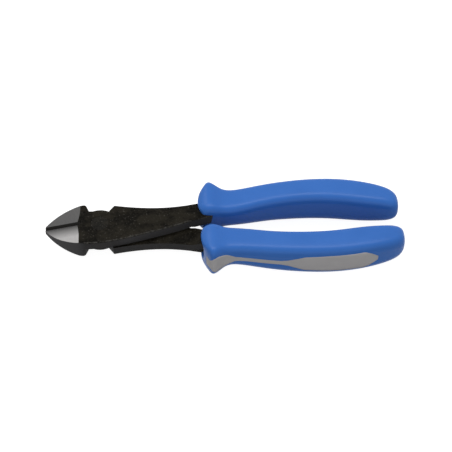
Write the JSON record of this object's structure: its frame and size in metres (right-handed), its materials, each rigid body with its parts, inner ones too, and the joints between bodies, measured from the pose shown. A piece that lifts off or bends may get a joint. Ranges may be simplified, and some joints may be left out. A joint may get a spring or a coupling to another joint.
{
  "type": "diagonal side cutters",
  "caption": "Heavy-duty diagonal side cutters with a riveted lap joint, long bare necks and soft two-colour grips with finger guards.",
  "frame": {"origin": "centre of the pivot rivet, half way through the joint's thickness", "axes": "+X from the pivot to the handles, jaws to -X; +Y towards the handle of the first half; +Z along the pivot axis, out of the side from which the jaws are ground"},
  "size_m": [0.1969, 0.0594, 0.02],
  "materials": {
    "black_steel": "black phosphated forged steel, with ground bright faces at the cutting edges",
    "rivet_steel": "black phosphated, turned flush",
    "hard_liner": "plain moulded",
    "blue_grip": "satin soft-touch moulded plastic",
    "grey_inlay": "matt soft-touch moulded plastic"
  },
  "bodies": {
    "first_half": {"half_upper_handle": "black_steel", "pivot_rivet": "rivet_steel", "upper_grip_liner": "hard_liner", "upper_grip_sleeve": "blue_grip", "upper_grip_inlay": "grey_inlay"},
    "second_half": {"half_lower_handle": "black_steel", "lower_grip_liner": "hard_liner", "lower_grip_sleeve": "blue_grip", "lower_grip_inlay": "grey_inlay"}
  },
  "joints": [
    {"name": "jaw_hinge", "type": "hinge", "parent": "first_half", "child": "second_half", "pos_m": [0, 0, 0], "axis": [0, 0, -1], "range_deg": [0, 55]}
  ]
}
